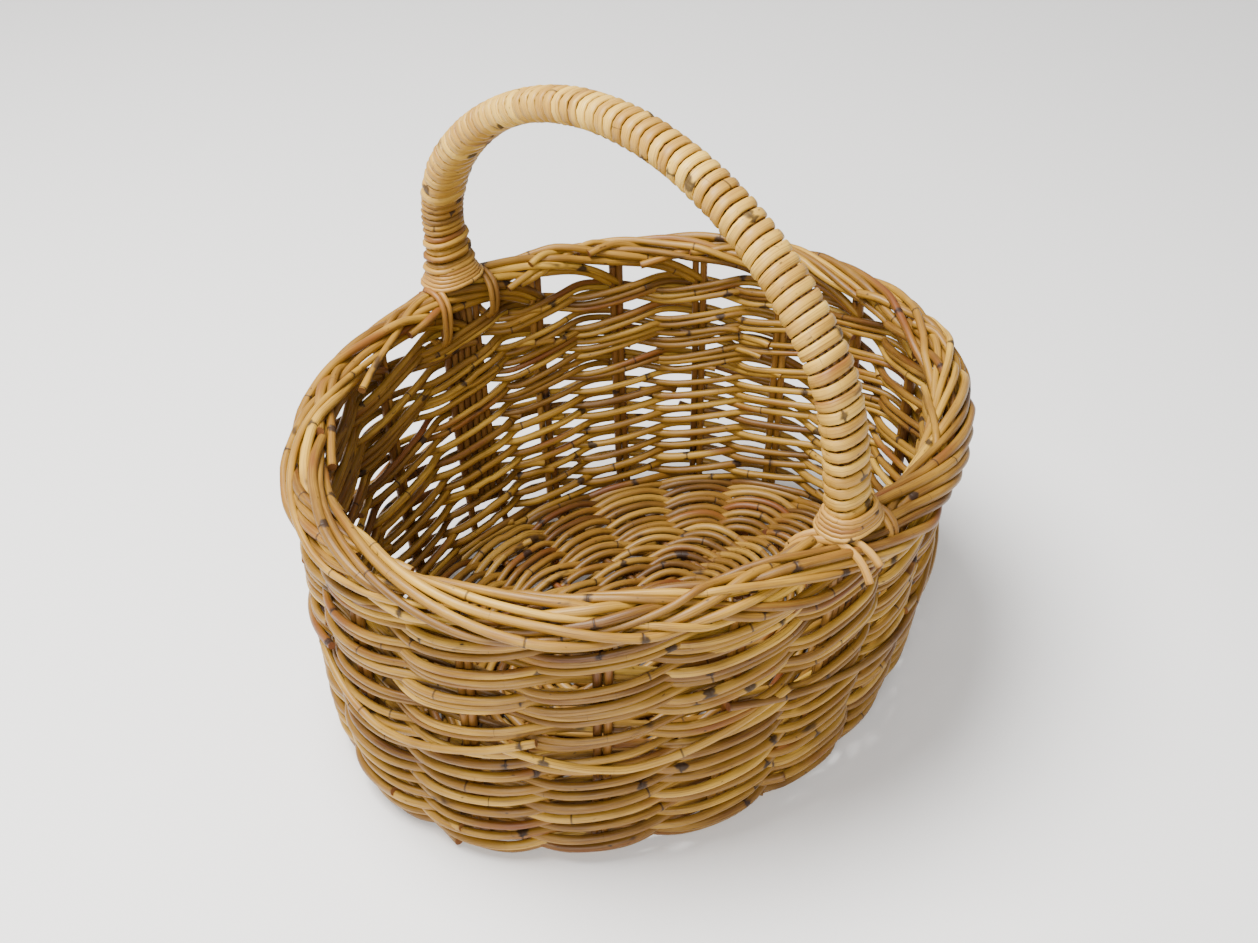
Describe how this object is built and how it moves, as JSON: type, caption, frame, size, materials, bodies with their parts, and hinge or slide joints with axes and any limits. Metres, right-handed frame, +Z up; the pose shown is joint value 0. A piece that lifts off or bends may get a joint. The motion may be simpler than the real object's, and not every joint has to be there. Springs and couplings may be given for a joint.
{
  "type": "woven market basket",
  "caption": "Oval woven cane market basket with an open top, a rolled border and one fixed arched handle wrapped in flat cane.",
  "frame": {"origin": "on the table, under the middle of the basket", "axes": "+X along the oval's length, Y across the basket in the plane of the handle, +Z up"},
  "size_m": [0.4178, 0.3646, 0.381],
  "materials": {
    "weave_cane": "satin round cane, uneven brown with darker nodes",
    "stake_cane": "satin round cane",
    "border_cane": "satin round cane, honey brown",
    "base_cane": "satin round cane",
    "stick_cane": "satin round cane",
    "core_cane": "peeled cane",
    "handle_wrap_cane": "smooth pale flat cane",
    "binding_cane": "satin round cane"
  },
  "bodies": {
    "root": {"base_cross_sticks": "stick_cane", "base_long_sticks": "stick_cane", "base_weave_outer": "base_cane", "base_weave_middle": "base_cane", "base_weave_inner": "base_cane", "foot_cane": "base_cane", "stake_pair_01": "stake_cane", "stake_pair_02": "stake_cane", "stake_pair_03": "stake_cane", "stake_pair_04": "stake_cane", "stake_pair_05": "stake_cane", "stake_pair_06": "stake_cane", "stake_pair_07": "stake_cane", "stake_pair_08": "stake_cane", "stake_pair_09": "stake_cane", "stake_pair_10": "stake_cane", "stake_pair_11": "stake_cane", "stake_pair_12": "stake_cane", "stake_pair_13": "stake_cane", "stake_pair_14": "stake_cane", "stake_pair_15": "stake_cane", "stake_pair_16": "stake_cane", "stake_pair_17": "stake_cane", "stake_pair_18": "stake_cane", "lower_weave_round_01": "weave_cane", "lower_weave_round_02": "weave_cane", "lower_weave_round_03": "weave_cane", "lower_weave_round_04": "weave_cane", "lower_weave_round_05": "weave_cane", "lower_weave_round_06": "weave_cane", "lower_weave_round_07": "weave_cane", "lower_weave_round_08": "weave_cane", "upper_weave_round_01": "weave_cane", "upper_weave_round_02": "weave_cane", "upper_weave_round_03": "weave_cane", "upper_weave_round_04": "weave_cane", "border_outer_canes": "border_cane", "border_inner_canes": "border_cane", "border_top_cane": "border_cane", "handle_core_canes": "core_cane", "handle_outer_liner": "core_cane", "handle_inner_liner": "core_cane", "handle_wrapping": "handle_wrap_cane", "collar_far": "binding_cane", "collar_near": "binding_cane", "lashing_far_left": "binding_cane", "lashing_far_right": "binding_cane", "lashing_near_left": "binding_cane", "lashing_near_right": "binding_cane"}
  },
  "joints": []
}
